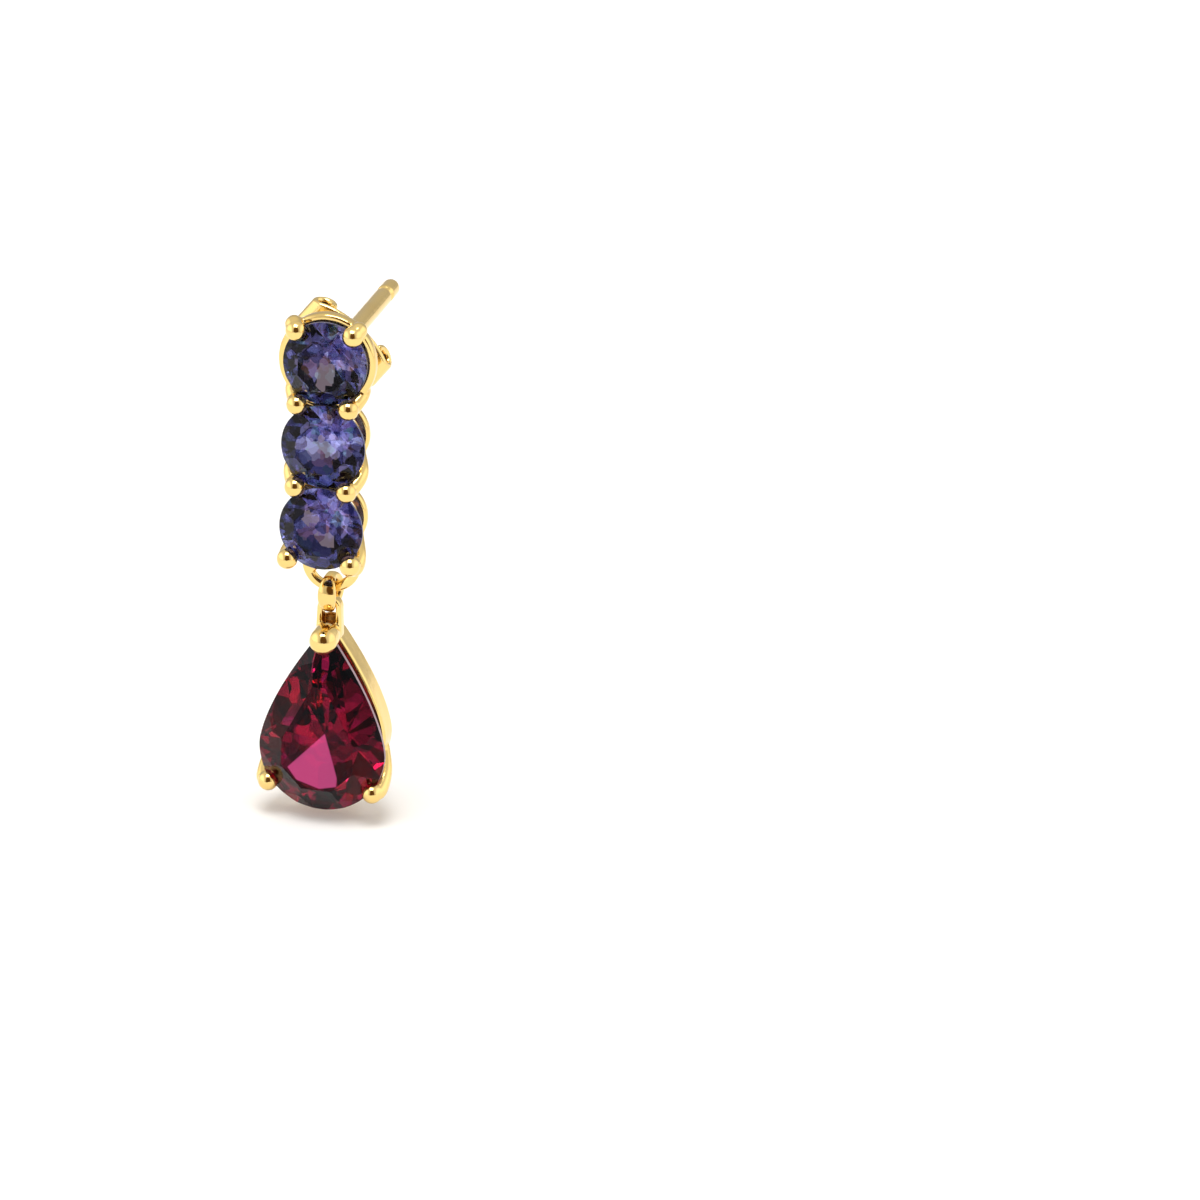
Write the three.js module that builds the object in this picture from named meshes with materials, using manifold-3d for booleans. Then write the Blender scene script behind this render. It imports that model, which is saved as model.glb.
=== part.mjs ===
// A gold drop earring with three round blue-violet stones in a straight bar and a
// pear-shaped raspberry-red drop below it. Millimetres, +Z up, the front faces -Y.
// The origin is on the ear post's axis, where the post leaves the flat back of the bar.
import * as THREE from "three";
import { mergeVertices } from "three/addons/utils/BufferGeometryUtils.js";
import Module from "manifold-3d";

// Round stones: three of one size, set in a line
const roundDiameter = 3.92;
const roundCount = 3;
const roundGap = 0.05;
const girdleDepth = 2.3; // from the back of the bar to the stones' girdles
const roundGirdle = 0.12; // thickness of a round stone's edge

// Pear stone
const pearHalfWidth = 3.0;
const pearTaper = 6.05; // from the widest place up to the point
const pearGirdle = 0.2;
const pearTipRound = 0.12;
const pearFlankPower = 1.5; // how the sides bend from the widest place to the point

// Cut of both stones
const tableShare = 0.57;
const crownAngle = 34;
const roundPavilionAngle = 41;
const pearPavilionDepth = 2.5;
const breakSteeper = 6; // small facets beside the girdle
const breakDepth = 1.1;
const starAngle = 20;
const starInset = 0.93;
const tipCrownAngle = 19;

// Gold wire of the bar
const seatGap = 0.05; // between a stone and the gold that holds it
const baseRingOuter = 1.65;
const baseRingWall = 0.5;
const baseRingThickness = 0.5;
const backPlateThickness = 0.4;
const bridgeWidth = 0.9;
const railRadius = 2.06; // middle of the wide ring round the top stone
const railWire = 0.42;
const railBehindGirdle = 0.6;
const prongWire = 0.6;
const prongShoulder = 0.76; // wire where a claw stands beside the stone
const barBead = 0.93; // ball tip of each claw
const seatBite = 0.05; // how far a stone's edge sits in a claw

// Claws of the bar
const topClawAngle = 49; // up from level, on the top stone
const sharedClawOut = 1.2; // sideways from the centre line, between two stones
const footClawAngle = 46; // down from level, on the lowest stone
const crossWire = 0.45; // joins the two claws between neighbouring stones
const crossBehindGirdle = 0.8;

// Hanging ring under the lowest stone
const hangRingRadius = 1.15; // middle of its wire
const hangRingWire = 0.5;
const hangRingOverlap = 0.16; // how far it sinks into the base ring
const hangRingInset = 0.02; // behind it, to the flat back
const hangCheek = 0.45; // thickens the ring inwards above the link
const hangCheekFoot = 0.45; // how far the thickening reaches below the ring's middle

// Link
const linkWire = 0.4; // thickness of the flattened wire
const linkEndWidth = 0.5;
const linkSideWidth = 0.86;
const linkHalfDepth = 0.72; // middle of the wire, front to back
const linkGap = 0.05; // over the ring's wire

// Eye on the pear's head
const linkToEye = 1.0; // from the ring's wire down to the link's lower wire
const eyeBore = 0.31; // half of the slot
const eyeSlotLength = 1.45;
const eyeRim = 0.3;
const eyeThickness = 0.66;
const eyeBevel = 0.1;
const eyeFoot = 0.68; // half of its width at the claw

// Pear setting, upright, measured from the middle of the link's lower wire
const pearForward = 0.8; // girdle in front of the link
const pearDrop = 0.72; // point of the stone below the link
const hangAngle = -0.1; // brings the weight of the drop straight below the hanging ring
const galleryShare = 0.88; // the gallery ring as a share of the stone's outline
const galleryWidth = 0.36;
const galleryThickness = 1.4;
const galleryBehindGirdle = 1.3;
const pearClawAngle = 36; // down from level, on the round end
const pearBead = 0.95;
const tipClaw = 1.2; // thumb over the point

// Ear post and friction nut
const postDiameter = 0.85;
const postLength = 9.5;
const postNotch = 0.1;
const notchFromEnd = 1.6;
const nutPlateThickness = 0.3;
const nutScroll = 1.1; // outer diameter of each rolled end
const nutReach = 1.8; // from the post to the middle of a rolled end
const nutWidth = 2.6; // across the middle
const nutEndWidth = 1.9; // across a rolled end
const nutBoreGap = 0.06;
const nutFromBack = 0.35;
const nutTurn = 142; // direction of the rolled end that shows, from +X

// Roundness
const wireSides = 8;
const ringSteps = 32;
const beadSteps = 12;
const outlineSteps = 48;

const wasm = await Module();
wasm.setup();

const radians = THREE.MathUtils.degToRad;
const pitch = roundDiameter + roundGap;
const roundRadius = roundDiameter / 2;
const girdleY = -girdleDepth;
const lowestZ = -(roundCount - 1) * pitch;

// Solids from closed geometry and back

function solid(geometry) {
  const bare = geometry.clone();
  bare.deleteAttribute("normal");
  bare.deleteAttribute("uv");
  const merged = mergeVertices(bare, 1e-5);
  return new wasm.Manifold(
    new wasm.Mesh({
      numProp: 3,
      vertProperties: Float32Array.from(merged.attributes.position.array),
      triVerts: Uint32Array.from(merged.index.array),
    }),
  );
}

function joined(solids) {
  return solids.reduce((all, next) => all.add(next));
}

function mesh(name, body, material) {
  const result = body.getMesh();
  const geometry = new THREE.BufferGeometry();
  geometry.setAttribute("position", new THREE.BufferAttribute(result.vertProperties, 3));
  geometry.setIndex(new THREE.BufferAttribute(result.triVerts, 1));
  geometry.computeVertexNormals();
  const made = new THREE.Mesh(geometry, material);
  made.name = name;
  return made;
}

// Sections swept through rows of rings

function lofted(rings, closed) {
  const sides = rings[0].length;
  const positions = rings.flat().flatMap((p) => [p.x, p.y, p.z]);
  const index = [];
  const bands = closed ? rings.length : rings.length - 1;
  for (let i = 0; i < bands; i++) {
    const next = (i + 1) % rings.length;
    for (let j = 0; j < sides; j++) {
      const k = (j + 1) % sides;
      const [a, b] = [i * sides + j, i * sides + k];
      const [c, d] = [next * sides + k, next * sides + j];
      index.push(a, b, c, a, c, d);
    }
  }
  if (!closed) {
    const last = (rings.length - 1) * sides;
    for (let j = 1; j < sides - 1; j++) {
      index.push(0, j + 1, j);
      index.push(last, last + j, last + j + 1);
    }
  }
  const geometry = new THREE.BufferGeometry();
  geometry.setAttribute("position", new THREE.Float32BufferAttribute(positions, 3));
  geometry.setIndex(index);
  return geometry;
}

// Round wire through points, with its own thickness at each point
function wire(points, diameters, steps = 8) {
  const path = new THREE.CatmullRomCurve3(points, false, "centripetal");
  const frames = path.computeFrenetFrames(steps, false);
  const rings = [];
  for (let i = 0; i <= steps; i++) {
    const t = i / steps;
    const centre = path.getPointAt(t);
    const place = t * (diameters.length - 1);
    const low = Math.min(Math.floor(place), diameters.length - 2);
    const radius = THREE.MathUtils.lerp(diameters[low], diameters[low + 1], place - low) / 2;
    const ring = [];
    for (let j = 0; j < wireSides; j++) {
      const angle = (2 * Math.PI * j) / wireSides;
      ring.push(
        centre
          .clone()
          .addScaledVector(frames.normals[i], radius * Math.cos(angle))
          .addScaledVector(frames.binormals[i], radius * Math.sin(angle)),
      );
    }
    rings.push(ring);
  }
  return solid(lofted(rings, false));
}

function bead(centre, diameter, stretch = 1) {
  const ball = new THREE.SphereGeometry(diameter / 2, beadSteps, beadSteps - 4);
  ball.rotateX(Math.PI / 2);
  ball.scale(1, 1, stretch);
  ball.translate(centre.x, centre.y, centre.z);
  return solid(ball);
}

// Ring about the Y axis with a bevelled square section
function bandRing(outer, wall, yBack, yFront, bevel) {
  const inner = outer - wall;
  const profile = [
    [inner + bevel, yFront],
    [outer - bevel, yFront],
    [outer, yFront + bevel],
    [outer, yBack - bevel],
    [outer - bevel, yBack],
    [inner + bevel, yBack],
    [inner, yBack - bevel],
    [inner, yFront + bevel],
    [inner + bevel, yFront],
  ].map(([radius, y]) => new THREE.Vector2(radius, y));
  return solid(new THREE.LatheGeometry(profile, ringSteps));
}

function wireRing(radius, diameter) {
  const ring = new THREE.TorusGeometry(radius, diameter / 2, wireSides, ringSteps);
  ring.rotateX(Math.PI / 2);
  return solid(ring);
}

// Cut stones: a smooth preform, ground flat facet by facet. A rim place has a point on the
// stone's outline, seen from the front, and the direction in which the outline faces there.

function crownFacet(place, y, slope) {
  const { point, normal } = place;
  const facing = new THREE.Vector3(
    normal.x * Math.sin(radians(slope)),
    -Math.cos(radians(slope)),
    normal.y * Math.sin(radians(slope)),
  );
  return { facing, on: new THREE.Vector3(point.x, y, point.y) };
}

function pavilionFacet(place, y, culet) {
  const { point, normal } = place;
  const rim = new THREE.Vector3(point.x, y, point.y);
  const tangent = new THREE.Vector3(-normal.y, 0, normal.x);
  const facing = tangent.cross(culet.clone().sub(rim)).normalize();
  if (facing.y < 0) facing.negate();
  return { facing, on: rim };
}

function cutStone(outline, spec, grow) {
  const { crown, girdle, pavilion, mains, breaks, stars } = spec;
  const shape = new THREE.Shape(outline(grow));
  const depth = crown + girdle + pavilion + 2 * grow;
  const preform = new THREE.ExtrudeGeometry(shape, { depth, bevelEnabled: false });
  preform.rotateX(Math.PI / 2);
  preform.translate(0, depth - crown - girdle / 2 - grow, 0);
  const front = -girdle / 2;
  const back = girdle / 2;
  const culet = new THREE.Vector3(0, back + pavilion, 0);
  const deepCulet = culet.clone().setY(back + pavilion * breakDepth);
  const facets = [];
  for (const place of mains) {
    facets.push(crownFacet(place, front, place.slope ?? crownAngle));
    facets.push(pavilionFacet(place, back, culet));
  }
  for (const place of breaks) {
    facets.push(crownFacet(place, front, (place.slope ?? crownAngle) + breakSteeper));
    facets.push(pavilionFacet(place, back, deepCulet));
  }
  for (const place of stars) {
    const edge = place.point.clone().addScaledVector(place.normal, -spec.inset * starInset);
    facets.push(crownFacet({ ...place, point: edge }, front - crown, starAngle));
  }
  let stone = solid(preform);
  for (const { facing, on } of facets) {
    const reach = facing.dot(on) + grow;
    stone = stone.trimByPlane([-facing.x, -facing.y, -facing.z], -reach);
  }
  return stone;
}

// Round stone

function roundPlace(degrees) {
  const normal = new THREE.Vector2(Math.cos(radians(degrees)), Math.sin(radians(degrees)));
  return { point: normal.clone().multiplyScalar(roundRadius), normal };
}

const roundOutline = (grow) => {
  const points = [];
  for (let i = 0; i < outlineSteps; i++) {
    const place = roundPlace((360 * i) / outlineSteps);
    points.push(place.point.addScaledVector(place.normal, grow));
  }
  return points;
};
const eighths = [0, 1, 2, 3, 4, 5, 6, 7];
const roundInset = roundRadius * (1 - tableShare);
const roundSpec = {
  inset: roundInset,
  crown: roundInset * Math.tan(radians(crownAngle)),
  girdle: roundGirdle,
  pavilion: roundRadius * Math.tan(radians(roundPavilionAngle)),
  mains: eighths.map((i) => roundPlace(45 * i)),
  breaks: eighths.flatMap((i) => [roundPlace(45 * i + 11.25), roundPlace(45 * i + 33.75)]),
  stars: eighths.map((i) => roundPlace(45 * i + 22.5)),
};
const roundStone = (grow) => cutStone(roundOutline, roundSpec, grow);

// Pear stone, its widest place at the local origin and its point up. A turn runs from -90 at
// the foot through 0 at the widest place to 90 at the point.

function pearPoint(turn, grow = 0) {
  const half = pearHalfWidth + grow;
  if (turn <= 0) {
    return new THREE.Vector2(half * Math.cos(radians(turn)), half * Math.sin(radians(turn)));
  }
  const taper = pearTaper + 1.3 * grow;
  const height = (taper - pearTipRound) * (turn / 90);
  return new THREE.Vector2(half * (1 - (height / taper) ** pearFlankPower), height);
}

const mirrored = (v) => new THREE.Vector2(-v.x, v.y);
const bothSides = (places) => [
  ...places,
  ...places.map((p) => ({ ...p, point: mirrored(p.point), normal: mirrored(p.normal) })),
];

function pearPlace(turn, slope) {
  if (Math.abs(turn) === 90) {
    const y = turn > 0 ? pearTaper - pearTipRound : -pearHalfWidth;
    return { point: new THREE.Vector2(0, y), normal: new THREE.Vector2(0, Math.sign(y)), slope };
  }
  const before = pearPoint(turn - 0.5);
  const after = pearPoint(turn + 0.5);
  const normal = new THREE.Vector2(after.y - before.y, before.x - after.x).normalize();
  return { point: pearPoint(turn), normal, slope };
}

const pearOutline = (grow) => {
  const right = [];
  for (let turn = -90; turn <= 90; turn += 180 / (outlineSteps / 2)) {
    right.push(pearPoint(turn, grow));
  }
  const left = right.slice(1).reverse().map(mirrored);
  return [...right, ...left];
};
const pearInset = pearHalfWidth * (1 - tableShare);
const pearSpec = {
  inset: pearInset,
  crown: pearInset * Math.tan(radians(crownAngle)),
  girdle: pearGirdle,
  pavilion: pearPavilionDepth,
  mains: [
    pearPlace(-90),
    pearPlace(90, tipCrownAngle),
    ...bothSides([pearPlace(-45), pearPlace(0), pearPlace(42)]),
  ],
  breaks: bothSides([-78, -57, -33, -12, 11, 31, 54, 76].map((turn) => pearPlace(turn))),
  stars: bothSides([-67.5, -22.5, 21, 62].map((turn) => pearPlace(turn))),
};
const pearStone = (grow) => cutStone(pearOutline, pearSpec, grow);

// Bar: base rings, back plate, bridges, rail, claws, hanging ring and post in one casting

const onStone = (stoneZ, radius, degrees, y) =>
  new THREE.Vector3(
    radius * Math.cos(radians(degrees)),
    y,
    stoneZ + radius * Math.sin(radians(degrees)),
  );
const flipped = (p) => new THREE.Vector3(-p.x, p.y, p.z);
const baseRingMiddle = baseRingOuter - baseRingWall / 2;
const baseY = -baseRingThickness / 2;
const clawBesideStone = roundRadius + prongShoulder / 2 - seatBite;
const beadY = girdleY - barBead * 0.32;

// A claw and its ball tip, on both sides of the bar
function clawPair(points, tip) {
  const diameters = [prongWire, prongShoulder, prongShoulder, barBead * 0.8];
  const parts = [];
  for (const side of [(p) => p.clone(), flipped]) {
    parts.push(wire([...points, tip].map(side), diameters));
    parts.push(bead(side(tip), barBead));
  }
  return joined(parts);
}

function barClaws() {
  const topTip = onStone(0, roundRadius + seatGap, topClawAngle, beadY);
  const pairs = [
    clawPair(
      [
        onStone(0, baseRingMiddle, topClawAngle, baseY),
        onStone(0, railRadius, topClawAngle, girdleY + railBehindGirdle),
        onStone(0, clawBesideStone, topClawAngle, girdleY),
      ],
      topTip,
    ),
  ];
  for (let i = 0; i < roundCount; i++) {
    const stoneZ = -i * pitch;
    const last = i === roundCount - 1;
    const tip = last
      ? onStone(stoneZ, roundRadius + 0.17, -footClawAngle, beadY)
      : new THREE.Vector3(sharedClawOut, beadY, stoneZ - pitch / 2);
    const beside = last
      ? onStone(stoneZ, clawBesideStone + 0.05, -footClawAngle, girdleY)
      : new THREE.Vector3(sharedClawOut + 0.12, girdleY, stoneZ - pitch / 2 + 0.06);
    pairs.push(
      clawPair(
        [
          onStone(stoneZ, baseRingMiddle, -34, baseY),
          onStone(stoneZ, clawBesideStone, -33, girdleY + railBehindGirdle + 0.2),
          beside,
        ],
        tip,
      ),
    );
  }
  for (let i = 0; i < roundCount - 1; i++) {
    const z = -(i + 0.5) * pitch;
    const y = girdleY + crossBehindGirdle;
    const ends = [-1, 0, 1].map((side) => new THREE.Vector3(side * clawBesideStone * 0.72, y, z));
    pairs.push(wire(ends, [crossWire, crossWire, crossWire], 2));
  }
  return joined(pairs);
}

const hangRingZ =
  lowestZ - baseRingOuter - hangRingRadius - hangRingWire / 2 + hangRingWire + hangRingOverlap;
const hangRingY = -hangRingWire / 2 - hangRingInset;
const hangWireZ = hangRingZ - hangRingRadius;

function earPost() {
  const r = postDiameter / 2;
  const notchY = postLength - notchFromEnd;
  const profile = [
    [0, -backPlateThickness],
    [r, -backPlateThickness],
    [r, notchY - 2 * postNotch],
    [r - postNotch, notchY - postNotch],
    [r - postNotch, notchY + postNotch],
    [r, notchY + 2 * postNotch],
    [r, postLength - r],
    [r * 0.7, postLength - r * 0.3],
    [0, postLength],
  ].map(([radius, y]) => new THREE.Vector2(radius, y));
  return solid(new THREE.LatheGeometry(profile, 16));
}

function barSetting() {
  const parts = [barClaws()];
  for (let i = 0; i < roundCount; i++) {
    const ring = bandRing(baseRingOuter, baseRingWall, 0, -baseRingThickness, 0.1);
    parts.push(ring.translate([0, 0, -i * pitch]));
    if (i > 0) {
      const length = pitch - 2 * baseRingOuter + baseRingWall;
      const bridge = new THREE.BoxGeometry(bridgeWidth, backPlateThickness, length);
      bridge.translate(0, -backPlateThickness / 2, -(i - 0.5) * pitch);
      parts.push(solid(bridge));
    }
  }
  const plate = new THREE.CylinderGeometry(
    baseRingMiddle,
    baseRingMiddle,
    backPlateThickness,
    ringSteps,
  );
  plate.translate(0, -backPlateThickness / 2, 0);
  parts.push(solid(plate));
  const rail = bandRing(
    railRadius + railWire / 2,
    railWire,
    girdleY + railBehindGirdle + railWire / 2,
    girdleY + railBehindGirdle - railWire / 2,
    0.08,
  );
  parts.push(rail);
  const hanger = wireRing(hangRingRadius, hangRingWire);
  parts.push(hanger.translate([0, hangRingY, hangRingZ]));
  const cheekBand = bandRing(hangRingRadius, hangCheek, hangCheek / 2, -hangCheek / 2, 0.1);
  const cheeks = cheekBand.trimByPlane([0, 0, 1], -hangCheekFoot);
  parts.push(cheeks.translate([0, hangRingY, hangRingZ]));
  parts.push(earPost());
  let setting = joined(parts);
  const cutter = roundStone(seatGap);
  for (let i = 0; i < roundCount; i++) {
    setting = setting.subtract(cutter.translate([0, girdleY, -i * pitch]));
  }
  return setting;
}

// Friction nut: a plate with a bore and two ends rolled back towards the post

function frictionNut() {
  const back = nutPlateThickness;
  const scroll = nutScroll / 2;
  const wall = nutPlateThickness;
  const arc = [];
  const turnSteps = 14;
  for (let i = 0; i <= turnSteps; i++) {
    const angle = -Math.PI / 2 + (i / turnSteps) * Math.PI * 1.6;
    arc.push([Math.cos(angle), Math.sin(angle)]);
  }
  const outer = arc.map(([c, s]) => [nutReach + scroll * c, scroll + scroll * s]);
  const inner = arc.map(([c, s]) => [nutReach + (scroll - wall) * c, scroll + (scroll - wall) * s]);
  const right = [...outer, ...inner.reverse()];
  const left = right.map(([x, y]) => [-x, y]).reverse();
  const shape = new THREE.Shape([...right, ...left].map(([x, y]) => new THREE.Vector2(x, y)));
  const body = new THREE.ExtrudeGeometry(shape, { depth: nutWidth, bevelEnabled: false });
  body.translate(0, 0, -nutWidth / 2);
  const trimLength = nutReach / Math.sqrt(1 - (nutEndWidth / nutWidth) ** 2);
  const trim = new THREE.CylinderGeometry(1, 1, nutScroll + back, ringSteps);
  trim.scale(trimLength, 1, nutWidth / 2);
  trim.translate(0, nutScroll / 2, 0);
  const bore = new THREE.CylinderGeometry(
    postDiameter / 2 + nutBoreGap,
    postDiameter / 2 + nutBoreGap,
    4 * nutScroll,
    16,
  );
  return solid(body).intersect(solid(trim)).subtract(solid(bore));
}

// Link: a flattened wire loop, narrow where it bends round the ring and the eye

const linkTopZ = linkToEye + hangRingWire / 2 + linkGap + linkWire / 2;

function link() {
  const topArcZ = linkTopZ - linkHalfDepth;
  const bottomArcZ = linkHalfDepth;
  const steps = 24;
  const rings = [];
  for (let i = 0; i < steps; i++) {
    const angle = (2 * Math.PI * (i + 0.5)) / steps;
    const centreZ = Math.sin(angle) > 0 ? topArcZ : bottomArcZ;
    const out = new THREE.Vector3(0, Math.cos(angle), Math.sin(angle));
    const centre = out.clone().multiplyScalar(linkHalfDepth);
    centre.z += centreZ;
    const side = Math.abs(Math.cos(angle)) ** 1.5;
    const halfWidth = THREE.MathUtils.lerp(linkEndWidth, linkSideWidth, side) / 2;
    const ring = [];
    for (let j = 0; j < wireSides; j++) {
      const turn = (2 * Math.PI * (j + 0.5)) / wireSides;
      const round = 1 / Math.cos(Math.PI / wireSides);
      const p = centre.clone().addScaledVector(out, (linkWire / 2) * round * Math.sin(turn));
      p.x += halfWidth * round * Math.cos(turn);
      ring.push(p);
    }
    rings.push(ring);
  }
  const loop = solid(lofted(rings, true));
  return loop.volume() > 0 ? loop : solid(lofted(rings.reverse(), true));
}

// Pear setting: gallery ring, three claws and the eye, in its own upright frame.
// The local origin is the middle of the link's lower wire.

const pearZ = -pearDrop - pearTaper;
const galleryY = -pearForward + galleryBehindGirdle + galleryThickness / 2;
const pearMiddleZ = (pearTaper - pearHalfWidth) / 2;

// The stone's outline shrunk about its middle, in pear coordinates
const shrunk = (turn, share) => {
  const p = pearPoint(turn);
  return new THREE.Vector2(p.x * share, pearMiddleZ + (p.y - pearMiddleZ) * share);
};

function galleryRing() {
  const turns = [];
  for (let turn = -90; turn <= 90; turn += 11.25) turns.push(turn);
  const inset = galleryWidth / pearHalfWidth;
  const outlineAt = (share) => {
    const right = turns.map((turn) => shrunk(turn, share));
    const left = right.slice(1, -1).reverse().map(mirrored);
    return [...right, ...left];
  };
  const bevel = 0.1;
  const section = [
    [0, -1, bevel],
    [0, 1, bevel],
    [1, 1, -bevel],
    [1, -1, -bevel],
  ];
  const rings = outlineAt(1).map((unused, i) =>
    section.flatMap(([inner, end, chamfer]) => {
      const half = galleryThickness / 2;
      const side = inner ? galleryShare - inset : galleryShare;
      const edge = outlineAt(side)[i];
      const eased = outlineAt(side - chamfer / pearHalfWidth)[i];
      const onEdge = new THREE.Vector3(edge.x, galleryY + end * (half - bevel), pearZ + edge.y);
      const onFace = new THREE.Vector3(eased.x, galleryY + end * half, pearZ + eased.y);
      const inwards = (end === -1) === (inner === 0);
      return inwards ? [onFace, onEdge] : [onEdge, onFace];
    }),
  );
  const ring = solid(lofted(rings, true));
  return ring.volume() > 0 ? ring : solid(lofted(rings.reverse(), true));
}

function eye() {
  const top = eyeBore + eyeRim;
  const slotFoot = eyeBore - eyeSlotLength;
  const outline = new THREE.Shape();
  outline.moveTo(-eyeFoot, slotFoot - eyeRim);
  outline.lineTo(eyeFoot, slotFoot - eyeRim);
  outline.lineTo(top, 0);
  outline.absarc(0, 0, top, 0, Math.PI, false);
  outline.lineTo(-eyeFoot, slotFoot - eyeRim);
  const slot = new THREE.Path();
  slot.moveTo(eyeBore, slotFoot);
  slot.lineTo(eyeBore, 0);
  slot.absarc(0, 0, eyeBore, 0, Math.PI, false);
  slot.lineTo(-eyeBore, slotFoot);
  slot.lineTo(eyeBore, slotFoot);
  outline.holes.push(slot);
  const body = new THREE.ExtrudeGeometry(outline, {
    depth: eyeThickness - 2 * eyeBevel,
    bevelEnabled: true,
    bevelThickness: eyeBevel,
    bevelSize: eyeBevel,
    bevelOffset: -eyeBevel,
    bevelSegments: 1,
    curveSegments: 8,
  });
  body.translate(0, 0, -(eyeThickness - 2 * eyeBevel) / 2);
  body.rotateX(Math.PI / 2);
  return solid(body);
}

function pearSetting() {
  const girdle = -pearForward;
  const parts = [galleryRing(), eye()];
  const slotFoot = eyeBore - eyeSlotLength;
  const tipZ = pearZ + pearTaper;
  const galleryTop = shrunk(90, galleryShare - galleryWidth / pearHalfWidth / 2);
  const neck = new THREE.Vector3(0, 0, slotFoot - eyeRim * 0.6);
  const thumb = new THREE.Vector3(0, girdle - tipClaw * 0.34, tipZ - tipClaw * 0.42);
  parts.push(
    wire(
      [
        new THREE.Vector3(0, galleryY, pearZ + galleryTop.y),
        new THREE.Vector3(0, galleryY * 0.5, slotFoot - eyeRim * 1.5),
        neck,
      ],
      [galleryWidth * 1.3, galleryWidth * 1.6, 2 * eyeFoot * 0.62],
      5,
    ),
  );
  parts.push(
    wire(
      [neck, new THREE.Vector3(0, girdle * 0.62, slotFoot + 0.1), thumb],
      [2 * eyeFoot * 0.7, tipClaw * 0.85, tipClaw * 0.86],
      6,
    ),
  );
  parts.push(bead(thumb, tipClaw, 1.12));
  for (const mirror of [(p) => p.clone(), flipped]) {
    const onRoundEnd = (radius, degrees, y) =>
      mirror(
        new THREE.Vector3(
          radius * Math.cos(radians(degrees)),
          y,
          pearZ + radius * Math.sin(radians(degrees)),
        ),
      );
    const root = shrunk(-14, galleryShare - galleryWidth / pearHalfWidth / 2);
    const beside = pearHalfWidth + prongShoulder / 2 - seatBite;
    const tip = onRoundEnd(pearHalfWidth + 0.13, -pearClawAngle, girdle - pearBead * 0.3);
    parts.push(
      wire(
        [
          mirror(new THREE.Vector3(root.x, galleryY, pearZ + root.y)),
          onRoundEnd(beside, -20, girdle + 0.95),
          onRoundEnd(beside, -pearClawAngle + 4, girdle + 0.05),
          tip,
        ],
        [prongWire, prongShoulder, prongShoulder, pearBead * 0.8],
      ),
    );
    parts.push(bead(tip, pearBead));
  }
  const cutter = pearStone(seatGap);
  return joined(parts).subtract(cutter.translate([0, girdle, pearZ]));
}

// Materials

const gold = new THREE.MeshStandardMaterial({ color: 0xe8c46a, roughness: 0.18, metalness: 1 });
const violet = new THREE.MeshStandardMaterial({ color: 0x2a2a78, roughness: 0.05, metalness: 0 });
const raspberry = new THREE.MeshStandardMaterial({
  color: 0x7a0f35,
  roughness: 0.05,
  metalness: 0,
});

// Assembly

const earring = new THREE.Group();
earring.name = "drop_earring";

const bar = new THREE.Group();
bar.add(mesh("bar_setting", barSetting(), gold));
for (let i = 0; i < roundCount; i++) {
  const stone = mesh("round_stone_" + (i + 1), roundStone(0), violet);
  stone.position.set(0, girdleY, -i * pitch);
  bar.add(stone);
}
const nut = mesh("friction_nut", frictionNut(), gold);
nut.position.set(0, nutFromBack, 0);
nut.rotation.set(0, -radians(nutTurn), 0);
bar.add(nut);
earring.add(bar);

const hanging = new THREE.Group();
hanging.position.set(0, hangRingY, hangWireZ - linkToEye);
hanging.add(mesh("link", link(), gold));
const drop = new THREE.Group();
drop.rotation.set(radians(-hangAngle), 0, 0);
drop.add(mesh("pear_setting", pearSetting(), gold));
const pear = mesh("pear_stone", pearStone(0), raspberry);
pear.position.set(0, -pearForward, pearZ);
drop.add(pear);
hanging.add(drop);
earring.add(hanging);

export default earring;
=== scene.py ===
import math

import bmesh
import bpy
import numpy as np
from mathutils import Matrix, Vector


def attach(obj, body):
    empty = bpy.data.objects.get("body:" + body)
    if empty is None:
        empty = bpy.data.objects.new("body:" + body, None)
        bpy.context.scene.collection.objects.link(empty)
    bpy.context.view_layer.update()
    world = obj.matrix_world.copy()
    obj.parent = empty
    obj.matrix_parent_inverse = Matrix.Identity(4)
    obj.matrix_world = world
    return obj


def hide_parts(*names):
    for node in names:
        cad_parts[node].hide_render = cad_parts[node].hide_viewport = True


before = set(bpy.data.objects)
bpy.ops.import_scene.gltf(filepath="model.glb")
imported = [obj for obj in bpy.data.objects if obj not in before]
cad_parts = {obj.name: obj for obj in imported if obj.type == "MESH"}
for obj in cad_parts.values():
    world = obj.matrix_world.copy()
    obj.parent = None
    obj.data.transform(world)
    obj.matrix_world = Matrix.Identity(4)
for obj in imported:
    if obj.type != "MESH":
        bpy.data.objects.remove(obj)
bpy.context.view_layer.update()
scene = bpy.context.scene

# Photographer's table
# A pale matt sheet lies just under the drop, inside a soft white tent with a darker gap
# where the lens looks in. The long lens looks down on the earring from its right.

MM = 0.001
PX_PER_MM = 22.2
PHOTO_PX = 1200
LENS, FILM_WIDTH = 200.0, 36
LOOK_AZIMUTH, LOOK_ELEVATION, LOOK_ROLL = (math.radians(a) for a in (15.0, 19.2, 1.5))
AIMED_AT = Vector((0, -2.3 * MM, 0))  # middle of the top stone's girdle
AIMED_PIXEL = (325.3, 363.7)
SHEET_REACH, SHEET_Z = 0.9, -22.75 * MM


def look_basis():
    ca, sa = math.cos(LOOK_AZIMUTH), math.sin(LOOK_AZIMUTH)
    ce, se = math.cos(LOOK_ELEVATION), math.sin(LOOK_ELEVATION)
    back = Vector((sa * ce, -ca * ce, se))
    right = Vector((ca, sa, 0))
    up = back.cross(right)
    turned_right = right * math.cos(LOOK_ROLL) + up * math.sin(LOOK_ROLL)
    turned_up = up * math.cos(LOOK_ROLL) - right * math.sin(LOOK_ROLL)
    return turned_right, turned_up, back


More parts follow.
